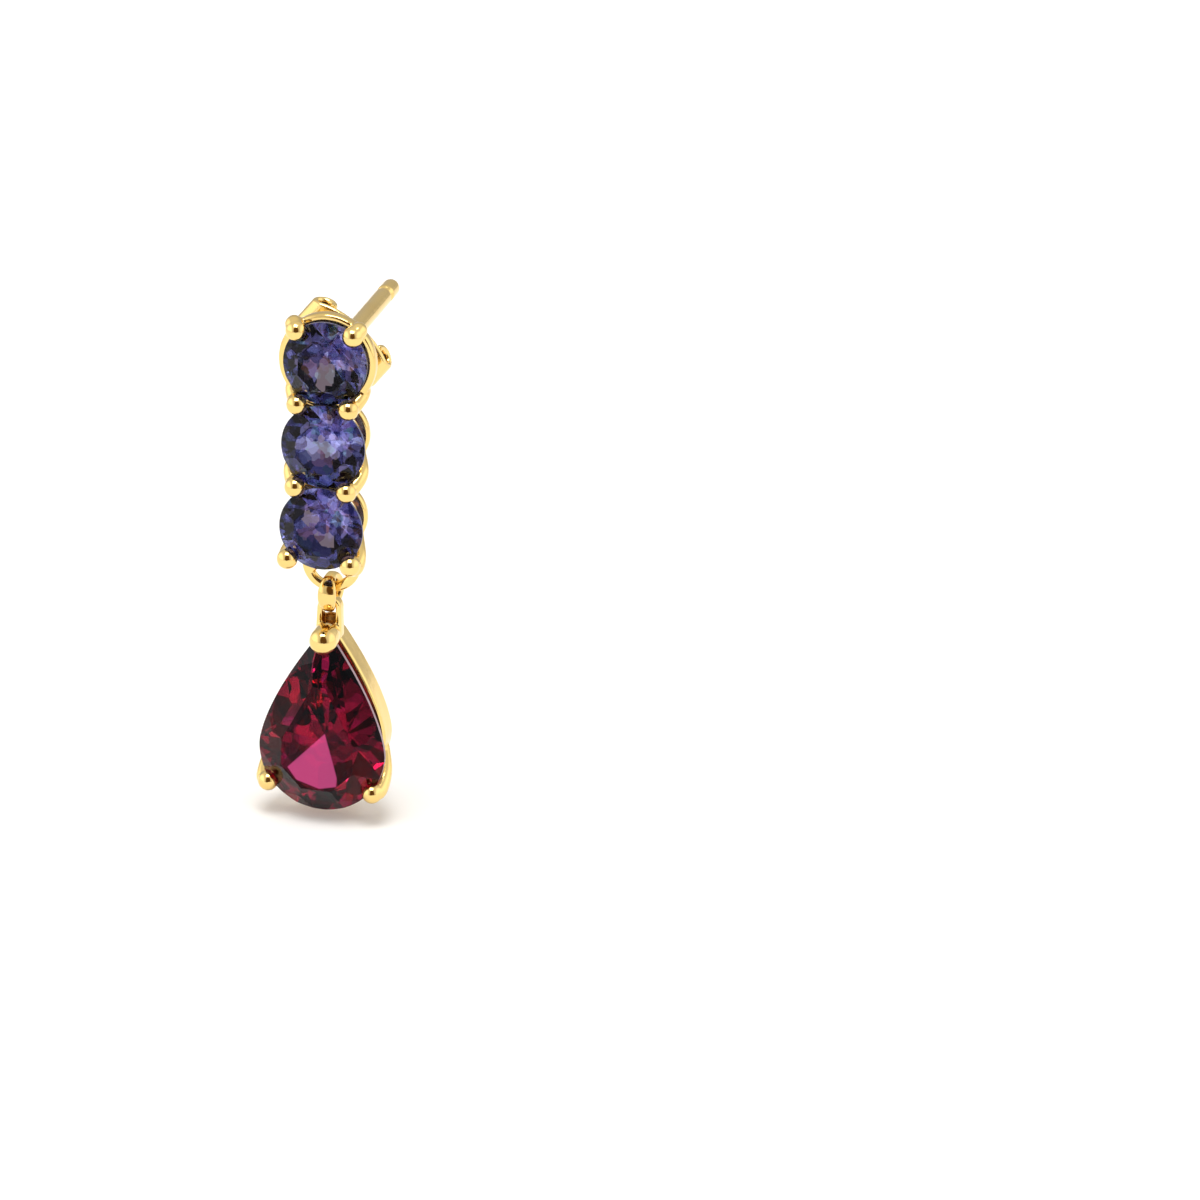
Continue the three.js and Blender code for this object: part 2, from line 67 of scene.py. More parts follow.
look_right, look_up, look_back = look_basis()
focal = PHOTO_PX * LENS / FILM_WIDTH
ray = Vector((AIMED_PIXEL[0] - PHOTO_PX / 2, PHOTO_PX / 2 - AIMED_PIXEL[1], -focal)).normalized()
look = Matrix((look_right, look_up, look_back)).transposed()
turn = ray.rotation_difference(Vector((0, 0, -1))).to_matrix()
away = focal / PX_PER_MM * MM / -ray.z
camera = bpy.data.objects.new("camera", bpy.data.cameras.new("camera"))
camera.data.lens = LENS
camera.data.sensor_width = FILM_WIDTH
camera.data.clip_start = 0.01
camera.data.clip_end = 10
camera.matrix_world = Matrix.Translation(AIMED_AT + look_back * away) @ (look @ turn).to_4x4()
scene.collection.objects.link(camera)
scene.camera = camera
scene.view_settings.view_transform = "Standard"


def wired(tree, kind, inputs=None, **settings):
    """A new node in a tree; each of its inputs is linked to an output or set to a value."""
    node = tree.nodes.new(kind)
    for key, value in settings.items():
        setattr(node, key, value)
    fed(tree, node, inputs or {})
    return node


def fed(tree, node, inputs):
    for socket, value in inputs.items():
        if isinstance(value, bpy.types.NodeSocket):
            tree.links.new(value, node.inputs[socket])
        else:
            node.inputs[socket].default_value = value


def worked_out(tree, operation, a, b):
    return wired(tree, "ShaderNodeMath", {0: a, 1: b}, operation=operation).outputs[0]


def noise(tree, place, scale, detail=2.0, roughness=0.5):
    inputs = {"Vector": place, "Scale": scale, "Detail": detail, "Roughness": roughness}
    return wired(tree, "ShaderNodeTexNoise", inputs).outputs["Fac"]


def two_tones(tree, source, first, second, span=(0.0, 1.0)):
    """A colour that runs from the first tone to the second over a span of the source."""
    ramp = wired(tree, "ShaderNodeValToRGB", {"Fac": source})
    for element, colour, position in zip(ramp.color_ramp.elements, (first, second), span):
        element.color = (*colour, 1)
        element.position = position
    return ramp.outputs["Color"]


sheet = bpy.data.meshes.new("pale_sheet")
sheet_corners = []
for x, y in ((-1, -1), (1, -1), (1, 1), (-1, 1)):
    sheet_corners.append((x * SHEET_REACH, y * SHEET_REACH, SHEET_Z))
sheet.from_pydata(sheet_corners, [], [(0, 1, 2, 3)])
table = bpy.data.objects.new("pale_sheet", sheet)
scene.collection.objects.link(table)
matt = bpy.data.materials.new("matt_white_card")
matt.use_nodes = True
card = matt.node_tree
card_place = wired(card, "ShaderNodeTexCoord").outputs["Object"]
card_tone = two_tones(card, noise(card, card_place, 400.0), (0.93, 0.93, 0.93), (0.97, 0.97, 0.965))
card_finish = {"Base Color": card_tone, "Roughness": 0.9, "Specular IOR Level": 0.1}
fed(card, card.nodes["Principled BSDF"], card_finish)
sheet.materials.append(matt)

tent = bpy.data.worlds.new("white_tent")
scene.world = tent
tent.use_nodes = True
air = tent.node_tree
air.nodes.clear()


def air_towards(direction):
    """How far the light's direction points along another one, from -1 to 1."""
    inputs = {0: seen, 1: direction}
    return wired(air, "ShaderNodeVectorMath", inputs, operation="DOT_PRODUCT").outputs["Value"]


def air_step(value, low, high, start, end):
    inputs = {"Value": value, "From Min": low, "From Max": high, "To Min": start, "To Max": end}
    node = wired(air, "ShaderNodeMapRange", inputs, interpolation_type="SMOOTHSTEP")
    return node.outputs["Result"]


seen = wired(air, "ShaderNodeTexCoord").outputs["Generated"]
across, upward, facing = (air_towards(v) for v in (look_right, look_up, look_back))

# The gap is an oval round the lens, dim and warm, on the side that the lens looks from
gap_half_width, gap_half_height, gap_glow = 0.44, 0.72, 0.17
gap_x = worked_out(air, "POWER", worked_out(air, "DIVIDE", across, gap_half_width), 2.0)
gap_y = worked_out(air, "POWER", worked_out(air, "DIVIDE", upward, gap_half_height), 2.0)
gap = air_step(worked_out(air, "ADD", gap_x, gap_y), 0.75, 1.2, 1.0, 0.0)
gap = worked_out(air, "MULTIPLY", gap, air_step(facing, 0.0, 0.2, 0.0, 1.0))

# The cloth glows more towards the top and at both sides, and a little less far behind
glow = air_step(air_towards(Vector((0, 0, 1))), -0.2, 1.0, 0.62, 0.85)
glow = worked_out(air, "ADD", glow, air_step(across, 0.55, 0.85, 0.0, 0.7))
glow = worked_out(air, "ADD", glow, air_step(across, -0.55, -0.85, 0.0, 0.9))
glow = worked_out(air, "MULTIPLY", glow, air_step(facing, -0.75, -0.1, 0.8, 1.0))
lit = worked_out(air, "MULTIPLY", glow, air_step(gap, 0.0, 1.0, 1.0, gap_glow))
shades = {"Factor": gap, "A": (1.0, 0.99, 0.97, 1), "B": (1.0, 0.5, 0.16, 1)}
shade = wired(air, "ShaderNodeMix", shades, data_type="RGBA")
tent_light = wired(air, "ShaderNodeBackground", {"Color": shade.outputs["Result"], "Strength": lit})
plain = wired(air, "ShaderNodeBackground", {"Color": (1, 1, 1, 1), "Strength": 1.0})
to_lens = wired(air, "ShaderNodeLightPath").outputs["Is Camera Ray"]
lights = {0: to_lens, 1: tent_light.outputs[0], 2: plain.outputs[0]}
either = wired(air, "ShaderNodeMixShader", lights)
wired(air, "ShaderNodeOutputWorld", {"Surface": either.outputs[0]})

softbox = bpy.data.objects.new("top_softbox", bpy.data.lights.new("top_softbox", "AREA"))
softbox.data.shape = "RECTANGLE"
softbox.data.size, softbox.data.size_y = 0.22, 0.18
softbox.data.energy = 0.8
softbox.data.color = (1.0, 0.985, 0.96)
softbox_at, drop_middle = Vector((0.0, -0.1, 0.34)), Vector((0, 0, -0.01))
softbox_turn = (softbox_at - drop_middle).to_track_quat("Z", "Y").to_matrix().to_4x4()
softbox.matrix_world = Matrix.Translation(softbox_at) @ softbox_turn
scene.collection.objects.link(softbox)

# Round stones
# Three blue-violet stones, each ground and polished as a round brilliant: a table, eight
# crown mains, eight stars and sixteen breaks in front, a matt girdle and a pointed pavilion.

PITCH = 3.97
ROUND_RADIUS = 1.96
GIRDLE_Y = -2.3
TABLE_SHARE, CROWN_ANGLE, BREAK_STEEPER, BREAK_DEPTH = 0.57, 34.0, 6.0, 1.1
STAR_ANGLE, STAR_INSET, ROUND_PAVILION = 20.0, 0.93, 41.0
FLASH_DEPTH, FLASH_IN_FRONT, STONE_ROUGHNESS = 0.25, 0.35, 0.02
SIDEWAYS = 0.06  # how far forward or back a face of the edge may point


def crown_facet(place, y, slope):
    (px, pz), (nx, nz) = place
    s, c = math.sin(math.radians(slope)), math.cos(math.radians(slope))
    return Vector((nx * s, -c, nz * s)), Vector((px, y, pz))


def pavilion_facet(place, y, culet):
    (px, pz), (nx, nz) = place
    rim = Vector((px, y, pz))
    face = Vector((-nz, 0, nx)).cross(culet - rim).normalized()
    return (face if face.y > 0 else -face), rim


def ground_stone(outline, cut, grow=0.0):
    """A stone's mesh in millimetres about its girdle's middle, ground flat facet by facet."""
    front, back = -cut["girdle"] / 2, cut["girdle"] / 2
    inset, crown, pavilion = cut["inset"], cut["crown"], cut["pavilion"]
    bm = bmesh.new()
    low, high = front - crown - grow, back + pavilion + grow
    ring = outline(grow)
    ends = [[bm.verts.new((x, y, z)) for x, z in ring] for y in (low, high)]
    for i in range(len(ring)):
        j = (i + 1) % len(ring)
        bm.faces.new((ends[0][i], ends[0][j], ends[1][j], ends[1][i]))
    bm.faces.new(ends[0][::-1])
    bm.faces.new(ends[1])
    culet = Vector((0, back + pavilion, 0))
    deep = Vector((0, back + pavilion * BREAK_DEPTH, 0))
    planes = []
    for place, slope in cut["mains"]:
        planes.append(crown_facet(place, front, slope or CROWN_ANGLE))
        planes.append(pavilion_facet(place, back, culet))
    for place in cut["breaks"]:
        planes.append(crown_facet(place, front, CROWN_ANGLE + BREAK_STEEPER))
        planes.append(pavilion_facet(place, back, deep))
    for (px, pz), (nx, nz) in cut["stars"]:
        edge = (px - nx * inset * STAR_INSET, pz - nz * inset * STAR_INSET)
        planes.append(crown_facet((edge, (nx, nz)), front - crown, STAR_ANGLE))
    for face, on in planes:
        whole = bm.verts[:] + bm.edges[:] + bm.faces[:]
        cut_at = {"plane_co": on + face * grow, "plane_no": face, "clear_outer": True}
        bmesh.ops.bisect_plane(bm, geom=whole, dist=1e-6, **cut_at)
        open_edges = [e for e in bm.edges if e.is_boundary]
        if open_edges:
            bmesh.ops.edgenet_fill(bm, edges=open_edges)
    bmesh.ops.remove_doubles(bm, verts=bm.verts[:], dist=2e-4)
    flat = math.radians(0.3)
    bmesh.ops.dissolve_limit(bm, angle_limit=flat, verts=bm.verts[:], edges=bm.edges[:])
    bmesh.ops.triangulate(bm, faces=bm.faces[:])
    bmesh.ops.recalc_face_normals(bm, faces=bm.faces[:])
    mesh = bpy.data.meshes.new("ground_stone")
    bm.to_mesh(mesh)
    bm.free()
    return mesh


def round_place(degrees, radius=ROUND_RADIUS):
    normal = (math.cos(math.radians(degrees)), math.sin(math.radians(degrees)))
    return (normal[0] * radius, normal[1] * radius), normal


def round_outline(grow):
    return [round_place(360 * i / 96, ROUND_RADIUS + grow)[0] for i in range(96)]


round_inset = ROUND_RADIUS * (1 - TABLE_SHARE)
ROUND_CUT = {
    "girdle": 0.12,
    "inset": round_inset,
    "crown": round_inset * math.tan(math.radians(CROWN_ANGLE)),
    "pavilion": ROUND_RADIUS * math.tan(math.radians(ROUND_PAVILION)),
    "mains": [(round_place(45 * i), None) for i in range(8)],
    "breaks": [round_place(45 * i + d) for i in range(8) for d in (11.25, 33.75)],
    "stars": [round_place(45 * i + 22.5) for i in range(8)],
}


def group_start(name, given, results):
    """A shader group with its numbers in and out, and the place on the piece."""
    tree = bpy.data.node_groups.new(name, "ShaderNodeTree")
    for label, value in given.items():
        socket = tree.interface.new_socket(label, in_out="INPUT", socket_type="NodeSocketFloat")
        socket.default_value = value
    for label in results:
        tree.interface.new_socket(label, in_out="OUTPUT", socket_type="NodeSocketFloat")
    place = wired(tree, "ShaderNodeTexCoord").outputs["Object"]
    return tree, wired(tree, "NodeGroupInput").outputs, place


def facet_play_group():
    """Patches of painted light and shade in the stone's own hue, as the facets behind the table
    would throw them, faint polishing marks, and a mask of the patches in the round flash of
    painted light of each stone in a row, weaker in the crown."""
    sizes = {"Patch Size": 0.001, "Seed Shift": 0.0}
    sizes.update({"Flash Row": 0.0, "Flash Radius": 0.001, "Flash Behind": 0.0})
    tree, given, place = group_start("facet_play", sizes, ("Tone", "Flash", "Marks"))
    shift = wired(tree, "ShaderNodeVectorMath", {0: place, 1: given["Seed Shift"]}, operation="ADD")
    per_metre = worked_out(tree, "DIVIDE", 1.0, given["Patch Size"])
    inputs = {"Randomness": 1.0, "Vector": shift.outputs[0], "Scale": per_metre}
    cells = wired(tree, "ShaderNodeTexVoronoi", inputs, distance="MANHATTAN").outputs
    split = wired(tree, "ShaderNodeSeparateColor", {0: cells["Color"]})
    inputs = {0: cells["Position"], 1: given["Seed Shift"]}
    unshifted = wired(tree, "ShaderNodeVectorMath", inputs, operation="SUBTRACT")
    cell = wired(tree, "ShaderNodeSeparateXYZ", {0: unshifted.outputs[0]}).outputs
    half_row = worked_out(tree, "MULTIPLY", given["Flash Row"], 0.5)
    nearest = worked_out(tree, "PINGPONG", cell["Z"], half_row)
    flat = wired(tree, "ShaderNodeCombineXYZ", {"X": cell["X"], "Y": nearest}).outputs[0]
    from_middle = wired(tree, "ShaderNodeVectorMath", {0: flat}, operation="LENGTH")
    distance = from_middle.outputs["Value"]
    inside = worked_out(tree, "LESS_THAN", distance, given["Flash Radius"])
    depth = wired(tree, "ShaderNodeSeparateXYZ", {0: place}).outputs["Y"]
    behind = worked_out(tree, "GREATER_THAN", depth, given["Flash Behind"])
    inputs = {0: behind, 1: 1 - FLASH_IN_FRONT, 2: FLASH_IN_FRONT}
    level = wired(tree, "ShaderNodeMath", inputs, operation="MULTIPLY_ADD").outputs[0]
    flash = worked_out(tree, "MULTIPLY", inside, level)
    marks = noise(tree, place, 2600.0, 3.0)
    results = {"Tone": split.outputs[0], "Flash": flash, "Marks": marks}
    wired(tree, "NodeGroupOutput", results)
    return tree


facet_play = facet_play_group()


def tone_ramp(tree, source, tones):
    ramp = wired(tree, "ShaderNodeValToRGB", {"Fac": source})
    ramp.color_ramp.interpolation = "CONSTANT"
    while len(ramp.color_ramp.elements) < len(tones):
        ramp.color_ramp.elements.new(0.5)
    for k, colour in enumerate(tones):
        ramp.color_ramp.elements[k].position = k / len(tones)
        ramp.color_ramp.elements[k].color = (*colour, 1)
    return ramp.outputs["Color"]


def material_start(name):
    material = bpy.data.materials.new(name)
    material.use_nodes = True
    return material, material.node_tree, material.node_tree.nodes["Principled BSDF"]


def stone_material(name, play_values, hue_and_painted_facet_light, flash_tones, ior):
    """Cut stone: clear and deep, its own colours in patches of painted light and shade, and paler
    ones glowing in the flash as painted light.
    """
    material, tree, body = material_start(name)
    play = wired(tree, "ShaderNodeGroup", play_values, node_tree=facet_play).outputs
    pale = tone_ramp(tree, play["Tone"], flash_tones)
    inputs = {"Factor": play["Flash"], "A": (0, 0, 0, 1), "B": pale}
    flash = wired(tree, "ShaderNodeMix", inputs, data_type="RGBA", name="flash")
    rough = {"Value": play["Marks"], "To Min": STONE_ROUGHNESS * 0.4, "To Max": STONE_ROUGHNESS}
    finish = {
        # Base colour: the stone's own hue, in patches of painted facet light and shade
        "Base Color": tone_ramp(tree, play["Tone"], hue_and_painted_facet_light),
        # The flash glows on its own: painted light, lit by no lamp
        "Emission Color": flash.outputs["Result"],
        "Emission Strength": 1.0,
        "Roughness": wired(tree, "ShaderNodeMapRange", rough).outputs["Result"],
        "Transmission Weight": 1.0,
        "Specular IOR Level": 0.2,
        "Specular Tint": (0.1, 0.1, 0.12, 1),
        "IOR": ior,
    }
    fed(tree, body, finish)
    return material


def girdle_material(name, dark, pale):
    """The stone's edge is left matt from shaping, in a paler tone with a fine grain."""
    material, tree, body = material_start(name)
    grain = noise(tree, wired(tree, "ShaderNodeTexCoord").outputs["Object"], 7000.0)
    fed(tree, body, {"Base Color": two_tones(tree, grain, dark, pale), "Roughness": 0.42})
    return material


violet_play = {
    "Patch Size": 0.0005,
    "Flash Row": PITCH * MM,
    "Flash Radius": 0.0008,
    "Flash Behind": (GIRDLE_Y + FLASH_DEPTH) * MM,
}
# The violet hue, darker and paler in patches of painted facet light and shade
violet_hue_and_painted_facet_light = (
    (0.007, 0.007, 0.034),
    (0.040, 0.046, 0.190),
    (0.010, 0.010, 0.058),
    (0.120, 0.135, 0.340),
    (0.022, 0.023, 0.088),
    (0.026, 0.062, 0.120),
    (0.058, 0.052, 0.220),
)
# Paler tones that glow in the flash: painted light
violet_flash_tones = (
    (0.440, 0.340, 0.400),
    (0.230, 0.110, 0.080),
    (0.010, 0.010, 0.045),
    (0.260, 0.210, 0.290),
    (0.010, 0.010, 0.020),
    (0.460, 0.420, 0.500),
    (0.120, 0.050, 0.036),
)
violet = stone_material(
    "blue_violet_stone", violet_play, violet_hue_and_painted_facet_light, violet_flash_tones, 1.69
)
violet_girdle = girdle_material("violet_girdle", (0.05, 0.055, 0.12), (0.16, 0.17, 0.27))


def matt_edge(mesh, material, edge_material):
    """The flats of the edge, which face sideways, get the matt finish of the girdle."""
    mesh.materials.append(material)
    mesh.materials.append(edge_material)
    for face in mesh.polygons:
        face.material_index = 1 if abs(face.normal.y) < SIDEWAYS else 0


def round_stone(i, grow=0.0):
    stone = ground_stone(round_outline, ROUND_CUT, grow)
    stone.transform(Matrix.Translation((0, GIRDLE_Y, -i * PITCH)))
    return stone


def place_piece(name, mesh, body, slot, material, *replaced):
    """A finished mesh, in millimetres, becomes a piece in metres that rides on its body."""
    mesh.transform(Matrix.Scale(MM, 4))
    mesh.name = name
    if not mesh.materials:
        mesh.materials.append(material)
    piece = bpy.data.objects.new(name, mesh)
    scene.collection.objects.link(piece)
    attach(piece, body)
    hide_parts(*replaced)


for i in range(3):
    stone = round_stone(i)
    matt_edge(stone, violet, violet_girdle)
    place_piece(f"round_gem_{i + 1}", stone, "bar", "violet_stone", violet, f"round_stone_{i + 1}")

# Bar setting
# One yellow gold casting: three base rings joined by bridges, a rail round the top stone,
# eight claws with ball tips, the hanging ring and the soldered ear post, then polished.

BASE_OUTER, BASE_WALL, BASE_THICK, BAND_ROUNDING = 1.65, 0.5, 0.5, 0.14
BACK_THICK, BRIDGE_HALF_WIDTH, BRIDGE_HALF_LENGTH = 0.4, 0.45, 0.6
RAIL_RADIUS, RAIL_WIRE, RAIL_DEPTH, RAIL_BEHIND = 2.05, 0.44, 0.62, 0.5
CLAW_WIRE, CLAW_SHOULDER, CLAW_BALL, CLAW_BITE = 0.6, 0.8, 0.97, 0.05
TOP_CLAW_TURN, ROOT_TURN, KNEE_TURN, FOOT_CLAW_TURN = 49, -34, -39, -46  # round a stone
KNEE_OUT, KNEE_FORWARD, FOOT_SHOULDER_OUT = 0.16, 0.1, 0.05
TOP_TIP_OUT, FOOT_TIP_OUT = 0.05, 0.17
SHOULDER_X, SHOULDER_UP, BALL_X = 1.32, 0.06, 1.2  # of the claws between two stones
CROSS_WIRE, CROSS_BEHIND, CROSS_DROP = 0.5, 0.8, 0.26
CROSS_END_X, CROSS_END_BEHIND, CROSS_END_UP = 1.48, 0.4, 0.26
CROSS_BEND_X, CROSS_BEND_FORWARD, CROSS_BEND_UP = 0.85, 0.12, 0.04
HANG_RADIUS, HANG_WIRE, HANG_ROUNDING, HANG_BITE = 1.15, 0.5, 0.245, 0.16
HANG_CHEEK, CHEEK_FOOT = 0.45, 0.45
HANG_Y = -HANG_WIRE / 2 - 0.02
HANG_Z = -2 * PITCH - BASE_OUTER - HANG_RADIUS + HANG_WIRE / 2 + HANG_BITE
POST_RADIUS, POST_END, NOTCH_FROM_END, NOTCH_DEPTH = 0.425, 9.5, 1.6, 0.1
SEAT_GAP = 0.03


def tree_start(name, sockets):
    tree = bpy.data.node_groups.new(name, "GeometryNodeTree")
    for label, kind, value in (("Geometry", "NodeSocketGeometry", None), *sockets):
        socket = tree.interface.new_socket(label, in_out="INPUT", socket_type=kind)
        if value is not None:
            socket.default_value = value
    tree.interface.new_socket("Geometry", in_out="OUTPUT", socket_type="NodeSocketGeometry")
    return tree, wired(tree, "NodeGroupInput").outputs


def tree_end(tree, given, geometry):
    """Every tree ends by making its copies real and giving them their metal."""
    real = wired(tree, "GeometryNodeRealizeInstances", {0: geometry}).outputs[0]
    inputs = {"Geometry": real, "Material": given["Metal"]}
    finished = wired(tree, "GeometryNodeSetMaterial", inputs).outputs[0]
    wired(tree, "NodeGroupOutput", {0: finished})


def point_number(tree, name):
    inputs = {"Name": name}
    node = wired(tree, "GeometryNodeInputNamedAttribute", inputs, data_type="FLOAT")
    return node.outputs["Attribute"]


def claws_tree():
    """Round wires along rows of points, with a ball wherever a point carries one."""
    sockets = (
        ("Metal", "NodeSocketMaterial", None),
        ("Steps", "NodeSocketInt", 28),
        ("Sides", "NodeSocketInt", 28),
    )
    tree, given = tree_start("claws_and_balls", sockets)
    path = wired(tree, "GeometryNodeMeshToCurve", {0: given["Geometry"]}).outputs[0]
    inputs = {"Curve": path}
    smooth = wired(tree, "GeometryNodeCurveSplineType", inputs, spline_type="CATMULL_ROM")
    inputs = {"Curve": smooth.outputs[0], "Radius": point_number(tree, "gauge")}
    thick = wired(tree, "GeometryNodeSetCurveRadius", inputs).outputs[0]
    inputs = {"Curve": thick, "Count": given["Steps"]}
    rows = wired(tree, "GeometryNodeResampleCurve", inputs).outputs[0]
    inputs = {"Radius": 0.5, "Resolution": given["Sides"]}
    section = wired(tree, "GeometryNodeCurvePrimitiveCircle", inputs).outputs[0]
    width = wired(tree, "GeometryNodeInputRadius").outputs[0]
    inputs = {"Curve": rows, "Profile Curve": section, "Scale": width, "Fill Caps": True}
    tube = wired(tree, "GeometryNodeCurveToMesh", inputs).outputs[0]
    size = point_number(tree, "ball")
    compare = {"data_type": "FLOAT", "operation": "GREATER_THAN"}
    has_ball = wired(tree, "FunctionNodeCompare", {0: size, 1: 0.01}, **compare).outputs[0]
    ball = wired(tree, "GeometryNodeMeshIcoSphere", {"Radius": 0.5, "Subdivisions": 5})
    inputs = {"Selection": has_ball, "Instance": ball.outputs["Mesh"], "Scale": size}
    balls = wired(tree, "GeometryNodeInstanceOnPoints", {"Points": given["Geometry"], **inputs})
    both = wired(tree, "GeometryNodeJoinGeometry", {0: tube})
    fed(tree, both, {0: balls.outputs[0]})
    tree_end(tree, given, both.outputs[0])
    return tree


def band_tree():
    """A band of rounded flat section that follows a closed outline, repeated in a row."""
    sockets = (
        ("Metal", "NodeSocketMaterial", None),
        ("Width", "NodeSocketFloat", 0.5),
        ("Thickness", "NodeSocketFloat", 0.5),
        ("Rounding", "NodeSocketFloat", 0.12),
        ("Copies", "NodeSocketInt", 1),
        ("Pitch", "NodeSocketFloat", PITCH),
    )
    tree, given = tree_start("bands_in_a_row", sockets)
    path = wired(tree, "GeometryNodeMeshToCurve", {0: given["Geometry"]}).outputs[0]
    upright = wired(tree, "GeometryNodeSetCurveNormal", {"Curve": path}, mode="Z_UP").outputs[0]
    inputs = {"Width": given["Width"], "Height": given["Thickness"]}
    section = wired(tree, "GeometryNodeCurvePrimitiveQuadrilateral", inputs).outputs[0]
    inputs = {"Curve": section, "Radius": given["Rounding"], "Count": 5}
    soft = wired(tree, "GeometryNodeFilletCurve", inputs, mode="POLY").outputs[0]
    inputs = {"Curve": upright, "Profile Curve": soft}
    tube = wired(tree, "GeometryNodeCurveToMesh", inputs).outputs[0]
    inputs = {"Geometry": tube, "Rotation": (math.pi / 2, 0, 0)}
    stood = wired(tree, "GeometryNodeTransform", inputs).outputs[0]
    below = worked_out(tree, "MULTIPLY", given["Pitch"], -1.0)
    offset = wired(tree, "ShaderNodeCombineXYZ", {"Z": below}).outputs[0]
    inputs = {"Count": given["Copies"], "Offset": offset}
    row = wired(tree, "GeometryNodeMeshLine", inputs).outputs[0]
    copies = wired(tree, "GeometryNodeInstanceOnPoints", {"Points": row, "Instance": stood})
    tree_end(tree, given, copies.outputs[0])
    return tree


claws_and_balls = claws_tree()
bands_in_a_row = band_tree()


def worn_polish_group():
    """Marks of wear on polished metal: rubbed patches, fine scratches and a soft ripple."""
    sizes = {"Smooth": 0.06, "Rubbed": 0.2, "Ripple Scale": 900.0, "Scratch Scale": 5200.0}
    tree, given, place = group_start("worn_polish", sizes, ("Roughness", "Warmth", "Height"))
    ripple = noise(tree, place, given["Ripple Scale"])
    inputs = {"Vector": place, "Scale": (1.0, 0.35, 0.12), "Rotation": (0.3, 0.2, 0.5)}
    stretched = wired(tree, "ShaderNodeMapping", inputs).outputs[0]
    scratch = noise(tree, stretched, given["Scratch Scale"], 4.0, 0.7)
    patches = noise(tree, place, 420.0, 5.0)
    inputs = {"Value": patches, "From Min": 0.35, "From Max": 0.75}
    mask = wired(tree, "ShaderNodeMapRange", inputs).outputs[0]
    scratched = worked_out(tree, "MULTIPLY", mask, scratch)
    inputs = {"Value": scratched, "To Min": given["Smooth"], "To Max": given["Rubbed"]}
    rough = wired(tree, "ShaderNodeMapRange", inputs).outputs[0]
    height = worked_out(tree, "ADD", ripple, worked_out(tree, "MULTIPLY", scratch, 0.06))
    wired(tree, "NodeGroupOutput", {"Roughness": rough, "Warmth": patches, "Height": height})
    return tree


worn_polish = worn_polish_group()


def gold_material(name, cool, warm, smooth, rubbed, ripple=900.0, depth=0.00003):
    """Yellow gold that is warmer and duller in rubbed patches."""
    material, tree, body = material_start(name)
    inputs = {"Smooth": smooth, "Rubbed": rubbed, "Ripple Scale": ripple}
    wear = wired(tree, "ShaderNodeGroup", inputs, node_tree=worn_polish).outputs
    bump = wired(tree, "ShaderNodeBump", {"Height": wear["Height"], "Distance": depth})
    finish = {
        "Base Color": two_tones(tree, wear["Warmth"], cool, warm, (0.3, 0.7)),
        "Metallic": 1.0,
        "Roughness": wear["Roughness"],
        "Normal": bump.outputs["Normal"],
    }
    fed(tree, body, finish)
    return material


polished_gold = gold_material("polished_gold", (0.84, 0.59, 0.21), (0.90, 0.66, 0.255), 0.07, 0.26)
# Dark brown gold that paints the shade deep in holes
shadowed_gold = gold_material("shadowed_gold", (0.36, 0.16, 0.035), (0.46, 0.22, 0.055), 0.25, 0.5)


def evaluated_mesh(maker):
    """The plain mesh that an object's own shape and its modifiers give."""
    evaluated = maker.evaluated_get(bpy.context.evaluated_depsgraph_get())
    return bpy.data.meshes.new_from_object(evaluated)


def made_by(tree, mesh, material, **sizes):
    """The plain mesh that a tree makes from rows or a loop of points."""
    maker = bpy.data.objects.new("maker", mesh)
    scene.collection.objects.link(maker)
    modifier = maker.modifiers.new("tree", "NODES")
    modifier.node_group = tree
    for item in tree.interface.items_tree:
        if item.in_out == "INPUT" and item.name in sizes:
            modifier[item.identifier] = sizes[item.name]
        elif item.in_out == "INPUT" and item.name == "Metal":
            modifier[item.identifier] = material
    plain_mesh = evaluated_mesh(maker)
    bpy.data.objects.remove(maker)
    return plain_mesh


def rows_of_points(rows):
    """Rows of (point, gauge, ball) as an edge mesh for the claws tree."""
    points, edges, gauges, balls = [], [], [], []
    for row in rows:
        start = len(points)
        for point, gauge, ball in row:
            points.append(tuple(point))
            gauges.append(gauge)
            balls.append(ball)
        edges += [(start + k, start + k + 1) for k in range(len(row) - 1)]
    mesh = bpy.data.meshes.new("rows")
    mesh.from_pydata(points, edges, [])
    for name, values in (("gauge", gauges), ("ball", balls)):
        mesh.attributes.new(name, "FLOAT", "POINT").data.foreach_set("value", values)
    return mesh


def loop_of_points(points):
    mesh = bpy.data.meshes.new("loop")
    edges = [(k, (k + 1) % len(points)) for k in range(len(points))]
    mesh.from_pydata([(x, y, 0) for x, y in points], edges, [])
    return mesh


def circle_points(radius, count=120):
    angles = [2 * math.pi * k / count for k in range(count)]
    return [(radius * math.cos(a), radius * math.sin(a)) for a in angles]


def gold_band(outline, width, thickness, rounding, at, copies=1):
    sizes = {"Width": width, "Thickness": thickness, "Rounding": rounding}
    sizes.update({"Copies": copies, "Pitch": PITCH})
    band = made_by(bands_in_a_row, loop_of_points(outline), polished_gold, **sizes)
    band.transform(Matrix.Translation(at))
    return band


def skinned(rows, closed):
    """A closed skin over rows of points that run round a section."""
    sides = len(rows[0])
    bm = bmesh.new()
    rings = [[bm.verts.new(p) for p in row] for row in rows]
    for a in range(len(rows) if closed else len(rows) - 1):
        b = (a + 1) % len(rows)
        for j in range(sides):
            k = (j + 1) % sides
            bm.faces.new((rings[a][j], rings[a][k], rings[b][k], rings[b][j]))
    if not closed:
        bm.faces.new(rings[0][::-1])
        bm.faces.new(rings[-1])
    bmesh.ops.remove_doubles(bm, verts=bm.verts[:], dist=1e-5)
    bmesh.ops.recalc_face_normals(bm, faces=bm.faces[:])
    mesh = bpy.data.meshes.new("skin")
    bm.to_mesh(mesh)
    bm.free()
    return mesh


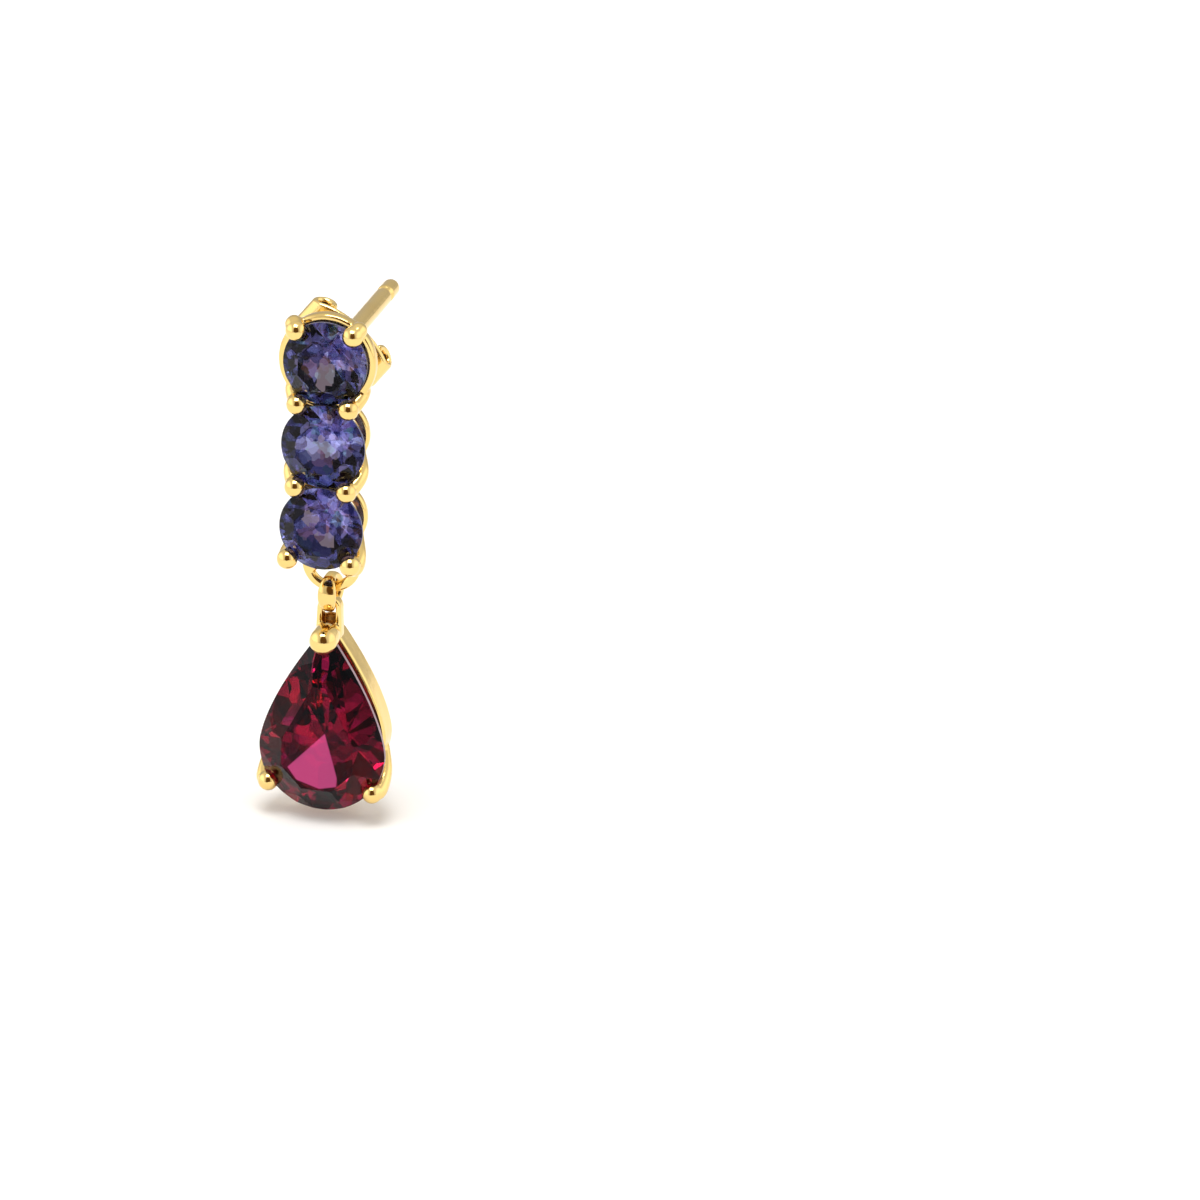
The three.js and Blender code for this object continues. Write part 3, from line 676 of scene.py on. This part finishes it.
def turned(profile, sides=64):
    """A solid turned about the Y axis from (radius, y) pairs."""
    rows = []
    for radius, y in profile:
        rows.append([(x, y, z) for x, z in circle_points(max(radius, 1e-3), sides)])
    return skinned(rows, False)


def block(low, high):
    bm = bmesh.new()
    bmesh.ops.create_cube(bm, size=1.0)
    mesh = bpy.data.meshes.new("block")
    bm.to_mesh(mesh)
    bm.free()
    low, high = Vector(low), Vector(high)
    mesh.transform(Matrix.Translation((low + high) / 2) @ Matrix.Diagonal((*(high - low), 1)))
    return mesh


def cast_in_one(name, shells, seats, material, voxel, smoothing, limit):
    """Shells flow together into one metal body, are smoothed and get the stones' seats cut."""
    bm = bmesh.new()
    for shell in shells:
        bm.from_mesh(shell)
    mesh = bpy.data.meshes.new(name)
    bm.to_mesh(mesh)
    bm.free()
    body = bpy.data.objects.new(name + "_wax", mesh)
    scene.collection.objects.link(body)
    flow = body.modifiers.new("flow", "REMESH")
    flow.mode = "VOXEL"
    flow.voxel_size = voxel
    polish = body.modifiers.new("polish", "SMOOTH")
    polish.factor = 0.5
    polish.iterations = smoothing
    cast = evaluated_mesh(body)
    triangles = sum(len(p.vertices) - 2 for p in cast.polygons)
    body.modifiers.clear()
    body.data = cast
    if triangles > limit:
        fewer = body.modifiers.new("fewer", "DECIMATE")
        fewer.ratio = limit / triangles
    cutters = []
    for seat in seats:
        cutter = bpy.data.objects.new("seat", seat)
        scene.collection.objects.link(cutter)
        cutter.hide_render = True
        cut = body.modifiers.new("seat", "BOOLEAN")
        cut.operation = "DIFFERENCE"
        cut.solver = "EXACT"
        cut.object = cutter
        cutters.append(cutter)
    done = evaluated_mesh(body)
    bpy.data.objects.remove(body)
    for cutter in cutters:
        bpy.data.objects.remove(cutter)
    done.shade_smooth()
    done.set_sharp_from_angle(angle=math.radians(38))
    done.materials.clear()
    done.materials.append(material)
    return done


def on_stone(stone_z, radius, degrees, y):
    a = math.radians(degrees)
    return (radius * math.cos(a), y, stone_z + radius * math.sin(a))


def mirrored(row):
    return [((-x, y, z), gauge, ball) for (x, y, z), gauge, ball in row]


base_middle, base_y = BASE_OUTER - BASE_WALL / 2, -BASE_THICK / 2
beside, ball_y = ROUND_RADIUS + CLAW_SHOULDER / 2 - CLAW_BITE, GIRDLE_Y - CLAW_BALL * 0.32
claw_rows = []


def claw(points):
    """A claw and its mirror image, from the root through the knee and shoulder to the ball."""
    gauges = (CLAW_WIRE, CLAW_WIRE * 1.1, CLAW_SHOULDER, CLAW_BALL * 0.8)
    balls = (0.0, 0.0, 0.0, CLAW_BALL)
    row = list(zip(points, gauges, balls))
    claw_rows.extend((row, mirrored(row)))


knee_y = GIRDLE_Y + CROSS_BEHIND - KNEE_FORWARD
root = on_stone(0, base_middle, TOP_CLAW_TURN, base_y)
knee = on_stone(0, RAIL_RADIUS, TOP_CLAW_TURN, GIRDLE_Y + RAIL_BEHIND)
shoulder = on_stone(0, beside, TOP_CLAW_TURN, GIRDLE_Y)
claw((root, knee, shoulder, on_stone(0, ROUND_RADIUS + TOP_TIP_OUT, TOP_CLAW_TURN, ball_y)))
for i in range(3):
    z, between = -i * PITCH, -(i + 0.5) * PITCH
    root = on_stone(z, base_middle, ROOT_TURN, base_y)
    knee = on_stone(z, ROUND_RADIUS + KNEE_OUT, KNEE_TURN, knee_y)
    if i < 2:
        shoulder, tip = (SHOULDER_X, GIRDLE_Y, between + SHOULDER_UP), (BALL_X, ball_y, between)
    else:
        shoulder = on_stone(z, beside + FOOT_SHOULDER_OUT, FOOT_CLAW_TURN, GIRDLE_Y)
        tip = on_stone(z, ROUND_RADIUS + FOOT_TIP_OUT, FOOT_CLAW_TURN, ball_y)
    claw((root, knee, shoulder, tip))

for i in range(2):
    between = -(i + 0.5) * PITCH
    low = between - CROSS_DROP
    end = (CROSS_END_X, GIRDLE_Y + CROSS_END_BEHIND, between + CROSS_END_UP)
    bend = (CROSS_BEND_X, GIRDLE_Y + CROSS_BEHIND - CROSS_BEND_FORWARD, low + CROSS_BEND_UP)
    half = [(point, CROSS_WIRE, 0.0) for point in (end, bend)]
    middle = ((0, GIRDLE_Y + CROSS_BEHIND, low), CROSS_WIRE, 0.0)
    claw_rows.append([*half, middle, *mirrored(half[::-1])])

base_round, rail_round, hang_round = (
    circle_points(radius) for radius in (base_middle, RAIL_RADIUS, HANG_RADIUS)
)
rail_at, hang_at = (0, GIRDLE_Y + RAIL_BEHIND, 0), (0, HANG_Y, HANG_Z)
bar_shells = [
    made_by(claws_and_balls, rows_of_points(claw_rows), polished_gold),
    gold_band(base_round, BASE_WALL, BASE_THICK, BAND_ROUNDING, (0, base_y, 0), 3),
    gold_band(rail_round, RAIL_WIRE, RAIL_DEPTH, BAND_ROUNDING, rail_at),
    gold_band(hang_round, HANG_WIRE, HANG_WIRE, HANG_ROUNDING, hang_at),
]
cheek_radius = HANG_RADIUS - HANG_CHEEK / 2
cheek_foot = math.asin(CHEEK_FOOT / cheek_radius)
cheek = []
for a in np.linspace(-cheek_foot, math.pi + cheek_foot, 40):
    x, z = cheek_radius * math.cos(a), cheek_radius * math.sin(a)
    cheek.append(((x, HANG_Y, HANG_Z + z), HANG_CHEEK, 0.0))
bar_shells.append(made_by(claws_and_balls, rows_of_points([cheek]), polished_gold))
back_plate = ((0, -BACK_THICK), (base_middle, -BACK_THICK), (base_middle, 0), (0, 0))
bar_shells.append(turned(back_plate))
for i in range(2):
    low, high = (-(i + 0.5) * PITCH + side * BRIDGE_HALF_LENGTH for side in (-1, 1))
    bridge = block((-BRIDGE_HALF_WIDTH, -BACK_THICK, low), (BRIDGE_HALF_WIDTH, 0, high))
    bar_shells.append(bridge)

notch_y, waist = POST_END - NOTCH_FROM_END, POST_RADIUS - NOTCH_DEPTH
post = [(0, -BACK_THICK), (POST_RADIUS, -BACK_THICK)]
post += [(POST_RADIUS, notch_y - 2 * NOTCH_DEPTH), (waist, notch_y - NOTCH_DEPTH)]
post += [(waist, notch_y + NOTCH_DEPTH), (POST_RADIUS, notch_y + 2 * NOTCH_DEPTH)]
for width, from_end in ((1.0, 1.0), (0.9, 0.55), (0.65, 0.22), (0, 0)):
    post.append((POST_RADIUS * width, POST_END - POST_RADIUS * from_end))
bar_shells.append(turned(post))


def painted_shade_in_recess(mesh, middle, half):
    """Faces in an egg-shaped space deep in a hole get the dark brown gold of painted shade."""
    mesh.materials.append(shadowed_gold)
    for face in mesh.polygons:
        if sum(((c - m) / h) ** 2 for c, m, h in zip(face.center, middle, half)) < 1:
            face.material_index = 1


seats = [round_stone(i, SEAT_GAP) for i in range(3)]
bar_cast = cast_in_one(
    "bar_gold", bar_shells, seats, polished_gold, voxel=0.055, smoothing=5, limit=150000
)
ring_hole_half = (0.86, 0.6, 0.86)
# The hanging ring's hole gets painted shade
painted_shade_in_recess(bar_cast, hang_at, ring_hole_half)
place_piece("bar_gold", bar_cast, "bar", "gold", polished_gold, "bar_setting")

# Friction nut
# A butterfly nut of springy gold sheet: a bored plate whose two ends are rolled back
# towards the post, pushed on behind the bar and turned so that one rolled end shows.

NUT_WALL, NUT_SCROLL, NUT_REACH, NUT_ROLL = 0.3, 1.1, 1.8, 1.6 * math.pi
NUT_WIDTH, NUT_END, NUT_EDGE, NUT_TURN = 2.6, 1.9, 0.1, 142.0
NUT_BEHIND, NUT_BORE_GAP = 0.35, 0.05

sheet_gold = gold_material(
    "rolled_sheet_gold", (0.84, 0.60, 0.22), (0.90, 0.67, 0.27), 0.12, 0.42, 1500.0, 0.00002
)


def rolled_sheet():
    """The sheet's section, with bevelled edges, carried along its middle line."""
    scroll, wall = NUT_SCROLL / 2, NUT_WALL / 2
    middle = []
    for k in range(41):
        a = -math.pi / 2 + k / 40 * NUT_ROLL
        out_x, out_y = math.cos(a), math.sin(a)
        r = scroll - wall
        middle.append((NUT_REACH + r * out_x, scroll + r * out_y, out_x, out_y))
    line = [(-x, y, -c, s) for x, y, c, s in reversed(middle)]
    line += [(x, wall, 0.0, -1.0) for x in np.linspace(-NUT_REACH, NUT_REACH, 24)[1:-1]]
    line += middle
    trim = NUT_REACH / math.sqrt(1 - (NUT_END / NUT_WIDTH) ** 2)
    rows = []
    for x, y, nx, ny in line:
        along = min(abs(x), NUT_REACH * 1.3) / trim
        half = NUT_WIDTH / 2 * math.sqrt(max(0.0, 1 - along**2))
        section = []
        for w, t in ((-1, -1), (-1, 1), (1, 1), (1, -1)):
            bevel = ((0, NUT_EDGE), (NUT_EDGE, 0))
            for dw, dt in bevel if w * t < 0 else bevel[::-1]:
                out = t * (wall - dt)
                section.append((x + nx * out, y + ny * out, w * (half - dw)))
        rows.append(section)
    return skinned(rows, False)


bore = POST_RADIUS + NUT_BORE_GAP
nut_bore = turned(((0, -2), (bore, -2), (bore, 3), (0, 3)))
nut = cast_in_one(
    "nut_gold", [rolled_sheet()], [nut_bore], sheet_gold, voxel=0.045, smoothing=3, limit=60000
)
nut_turn = Matrix.Rotation(-math.radians(NUT_TURN), 4, "Y")
nut.transform(Matrix.Translation((0, NUT_BEHIND, 0)) @ nut_turn)
place_piece("nut_gold", nut, "bar", "gold", sheet_gold, "friction_nut")

# Link
# A loop of flattened gold wire through the hanging ring and the eye: wide down its sides,
# narrow where it bends round the two wires, closed with a flush solder seam.

LINK_WIRE, LINK_END, LINK_SIDE, LINK_DEPTH = 0.4, 0.5, 0.86, 0.72
LINK_GAP, LINK_TO_EYE = 0.05, 1.0
LOW_WIRE = Vector((0, HANG_Y, HANG_Z - HANG_RADIUS - LINK_TO_EYE))  # middle of its lower wire


def squared(value):
    """A sine or cosine pushed outwards a little, so that a round section gets flatter."""
    return math.copysign(abs(value) ** 0.8, value)


def link_loop():
    top = LINK_TO_EYE + HANG_WIRE / 2 + LINK_GAP + LINK_WIRE / 2
    rows = []
    for i in range(144):
        a = 2 * math.pi * (i + 0.5) / 144
        out_y, out_z = math.cos(a), math.sin(a)
        centre_z = top - LINK_DEPTH if out_z > 0 else LINK_DEPTH
        half = (LINK_END + (LINK_SIDE - LINK_END) * abs(out_y) ** 1.5) / 2
        section = []
        for c, s in circle_points(1, 32):
            deep = LINK_DEPTH + LINK_WIRE / 2 * squared(s)
            section.append((half * squared(c), out_y * deep, centre_z + out_z * deep))
        rows.append(section)
    return skinned(rows, True)


loop = link_loop()
loop.transform(Matrix.Translation(LOW_WIRE))
loop.shade_smooth()
place_piece("link_gold", loop, "hanging_link", "gold", polished_gold, "link")

# Pear stone
# A raspberry-red pear cut with a large table; it hangs almost upright in front of its
# setting, tilted as its own weight settles it under the hanging ring.

PEAR_HALF, PEAR_TAPER, PEAR_TIP, PEAR_POWER = 3.0, 6.05, 0.12, 1.5
PEAR_PAVILION, POINT_ANGLE = 2.5, 19.0
PEAR_FORWARD, PEAR_DROP, HANG_ANGLE = 0.8, 0.72, -0.1
PEAR_Z = -PEAR_DROP - PEAR_TAPER
FLASH_CORNERS = [(0.35, 1.15), (-1.39, -0.72), (-0.95, -1.3)]
FLASH_CORNERS += [(0.15, -1.62), (0.95, -1.42), (0.98, -1.0)]
FLASH_SOFT = 0.00004
hung = Matrix.Translation(LOW_WIRE) @ Matrix.Rotation(-math.radians(HANG_ANGLE), 4, "X")


def pear_point(turn, grow=0.0):
    half = PEAR_HALF + grow
    if turn <= 0:
        return half * math.cos(math.radians(turn)), half * math.sin(math.radians(turn))
    taper = PEAR_TAPER + 1.3 * grow
    height = (taper - PEAR_TIP) * turn / 90
    return half * (1 - (height / taper) ** PEAR_POWER), height


def pear_place(turn):
    if abs(turn) == 90:
        return ((0, PEAR_TAPER - PEAR_TIP), (0, 1)) if turn > 0 else ((0, -PEAR_HALF), (0, -1))
    (ax, ay), (bx, by) = pear_point(turn - 0.5), pear_point(turn + 0.5)
    length = math.hypot(by - ay, ax - bx)
    return pear_point(turn), ((by - ay) / length, (ax - bx) / length)


def other_side(place):
    (px, pz), (nx, nz) = place
    return (-px, pz), (-nx, nz)


def both_sides(turns):
    places = [pear_place(t) for t in turns]
    return places + [other_side(p) for p in places]


def pear_outline(grow):
    right = [pear_point(t, grow) for t in np.linspace(-90, 90, 73)]
    return right + [(-x, z) for x, z in reversed(right[1:])]


pear_inset = PEAR_HALF * (1 - TABLE_SHARE)
end_mains = [(pear_place(-90), None), (pear_place(90), POINT_ANGLE)]
PEAR_CUT = {
    "girdle": 0.2,
    "inset": pear_inset,
    "crown": pear_inset * math.tan(math.radians(CROWN_ANGLE)),
    "pavilion": PEAR_PAVILION,
    "mains": end_mains + [(place, None) for place in both_sides((-45, 0, 42))],
    "breaks": both_sides((-78, -57, -33, -12, 11, 31, 54, 76)),
    "stars": both_sides((-67.5, -22.5, 21, 62)),
}

raspberry_play = {"Patch Size": 0.0011, "Seed Shift": 0.0031}
raspberry_hue_and_painted_facet_light = (
    (0.115, 0.001, 0.012),
    (0.210, 0.002, 0.022),
    (0.012, 0.001, 0.002),
    (0.310, 0.004, 0.022),
    (0.150, 0.003, 0.038),
    (0.035, 0.001, 0.005),
)
raspberry = stone_material(
    "raspberry_stone", raspberry_play, raspberry_hue_and_painted_facet_light, ((0.450, 0.052, 0.175),), 1.76
)
raspberry_girdle = girdle_material("raspberry_girdle", (0.22, 0.12, 0.16), (0.46, 0.34, 0.38))


def light_under_table(material, corners):
    """One straight-sided patch of painted pink light glows up through the table, where the lower
    pavilion would throw it.
    """
    tree = material.node_tree
    place = wired(tree, "ShaderNodeTexCoord").outputs["Object"]
    depth = wired(tree, "ShaderNodeSeparateXYZ", {0: place}).outputs["Y"]
    inside = worked_out(tree, "LESS_THAN", depth, (HANG_Y - PEAR_FORWARD) * MM)
    for (ax, az), (bx, bz) in zip(corners, corners[1:] + corners[:1]):
        inward = Vector((az - bz, 0, bx - ax)).normalized()
        inputs = {0: place, 1: inward}
        along = wired(tree, "ShaderNodeVectorMath", inputs, operation="DOT_PRODUCT")
        edge = inward.dot(Vector((ax, 0, az)))
        inputs = {"From Min": edge - FLASH_SOFT, "From Max": edge + FLASH_SOFT}
        reached = wired(tree, "ShaderNodeMapRange", inputs, interpolation_type="SMOOTHSTEP")
        fed(tree, reached, {"Value": along.outputs["Value"]})
        inside = worked_out(tree, "MULTIPLY", inside, reached.outputs["Result"])
    fed(tree, tree.nodes["flash"], {"Factor": inside})


pear_middle_z = LOW_WIRE.z + PEAR_Z
# The pear's table gets a glowing patch of painted pink light
light_under_table(raspberry, [(x * MM, (pear_middle_z + z) * MM) for x, z in FLASH_CORNERS])
pear = ground_stone(pear_outline, PEAR_CUT)
matt_edge(pear, raspberry, raspberry_girdle)
pear.transform(hung @ Matrix.Translation((0, -PEAR_FORWARD, PEAR_Z)))
place_piece("pear_gem", pear, "drop", "raspberry_stone", raspberry, "pear_stone")

# Pear setting
# One gold casting with a slotted eye, a thumb claw over the stone's point, an open gallery
# band behind the girdle and two ball claws on the round end.

GALLERY_SHARE, GALLERY_WIDTH, GALLERY_THICK, GALLERY_BEHIND = 0.88, 0.36, 1.4, 1.3
GALLERY_ROUNDING, CLAW_ROOT_TURN = 0.13, -14
EYE_BORE, EYE_SLOT, EYE_RIM, EYE_THICK, EYE_FOOT, EYE_EDGE = 0.31, 1.45, 0.26, 0.66, 0.62, 0.1
PEAR_BALL, THUMB = 0.95, 1.3
BACKING_AT, BACKING_HALF = (0, 0.36, -0.9), (0.58, 0.27, 0.5)
gallery_y = -PEAR_FORWARD + GALLERY_BEHIND + GALLERY_THICK / 2
pear_middle = (PEAR_TAPER - PEAR_HALF) / 2
band_share = GALLERY_SHARE - GALLERY_WIDTH / PEAR_HALF / 2


def shrunk(turn, share):
    x, z = pear_point(turn)
    return x * share, pear_middle + (z - pear_middle) * share


right_side = [shrunk(t, band_share) for t in np.linspace(-90, 90, 73)]
gallery_loop = right_side + [(-x, z) for x, z in reversed(right_side[1:-1])]
gallery_at = (0, gallery_y, PEAR_Z)
gallery = gold_band(gallery_loop, GALLERY_WIDTH, GALLERY_THICK, GALLERY_ROUNDING, gallery_at)


def eye_plate():
    """The slotted eye from a flat outline, with softened edges."""
    curve = bpy.data.curves.new("eye", "CURVE")
    curve.dimensions = "2D"
    curve.fill_mode = "BOTH"
    curve.extrude = EYE_THICK / 2 - EYE_EDGE
    curve.bevel_depth = EYE_EDGE
    curve.bevel_resolution = 3
    curve.offset = -EYE_EDGE
    half_turn = [(math.cos(a), math.sin(a)) for a in (math.pi * k / 32 for k in range(33))]
    outer_foot = slot_foot - EYE_RIM
    outer = [((EYE_BORE + EYE_RIM) * c, (EYE_BORE + EYE_RIM) * s) for c, s in half_turn]
    outer += [(-EYE_FOOT, outer_foot), (EYE_FOOT, outer_foot)]
    slot = [(EYE_BORE * c, EYE_BORE * s) for c, s in half_turn]
    slot += [(-EYE_BORE, slot_foot), (EYE_BORE, slot_foot)]
    for points in (outer, slot[::-1]):
        spline = curve.splines.new("POLY")
        spline.points.add(len(points) - 1)
        for point, (x, z) in zip(spline.points, points):
            point.co = (x, z, 0, 1)
        spline.use_cyclic_u = True
    holder = bpy.data.objects.new("eye", curve)
    scene.collection.objects.link(holder)
    mesh = evaluated_mesh(holder)
    bpy.data.objects.remove(holder)
    mesh.transform(Matrix.Rotation(math.pi / 2, 4, "X"))
    return mesh


slot_foot = EYE_BORE - EYE_SLOT
tip_z = PEAR_Z + PEAR_TAPER
gallery_top = (0, gallery_y, PEAR_Z + shrunk(90, band_share)[1])
below_eye = (0, gallery_y * 0.5, slot_foot - EYE_RIM * 1.5)
neck = (0, 0, slot_foot - EYE_RIM * 0.6)
thumb_knee = (0, -PEAR_FORWARD * 0.72, slot_foot - 0.1)
thumb_tip = (0, -PEAR_FORWARD - THUMB * 0.26, tip_z - THUMB * 0.44)
root_x, root_z = shrunk(CLAW_ROOT_TURN, band_share)
pear_claw = [((root_x, gallery_y, PEAR_Z + root_z), CLAW_WIRE, 0.0)]
for turn, out, y, gauge, ball in (
    (-21, -0.02, 0.95, CLAW_WIRE * 1.1, 0.0),
    (-32, 0.24, 0.05, CLAW_SHOULDER, 0.0),
    (-36, 0.08, -PEAR_BALL * 0.3, PEAR_BALL * 0.8, PEAR_BALL),
):
    point = on_stone(PEAR_Z, PEAR_HALF + out, turn, y - PEAR_FORWARD)
    pear_claw.append((point, gauge, ball))
pear_rows = [
    [
        (gallery_top, GALLERY_WIDTH * 1.3, 0.0),
        (below_eye, GALLERY_WIDTH * 1.6, 0.0),
        (neck, EYE_FOOT * 1.24, 0.0),
    ],
    [
        (neck, EYE_FOOT * 1.7, 0.0),
        (thumb_knee, THUMB * 0.97, 0.0),
        (thumb_tip, THUMB, THUMB),
    ],
    pear_claw,
    mirrored(pear_claw),
]
backing = turned([(math.sin(a), -math.cos(a)) for a in np.linspace(0, math.pi, 25)], 48)
backing.transform(Matrix.Translation(BACKING_AT) @ Matrix.Diagonal((*BACKING_HALF, 1)))
claws = made_by(claws_and_balls, rows_of_points(pear_rows), polished_gold)
pear_seat = ground_stone(pear_outline, PEAR_CUT, SEAT_GAP)
pear_seat.transform(Matrix.Translation((0, -PEAR_FORWARD, PEAR_Z)))
pear_shells = [claws, gallery, eye_plate(), backing]
pear_cast = cast_in_one(
    "pear_gold", pear_shells, [pear_seat], polished_gold, voxel=0.05, smoothing=4, limit=120000
)
slot_middle, slot_half = slot_foot / 2 - 0.14, (EYE_BORE + 0.1, 0.32, EYE_SLOT * 0.42)
# The eye's slot gets painted shade
painted_shade_in_recess(pear_cast, (0, 0.08, slot_middle), slot_half)
pear_cast.transform(hung)
place_piece("pear_gold", pear_cast, "drop", "gold", polished_gold, "pear_setting")
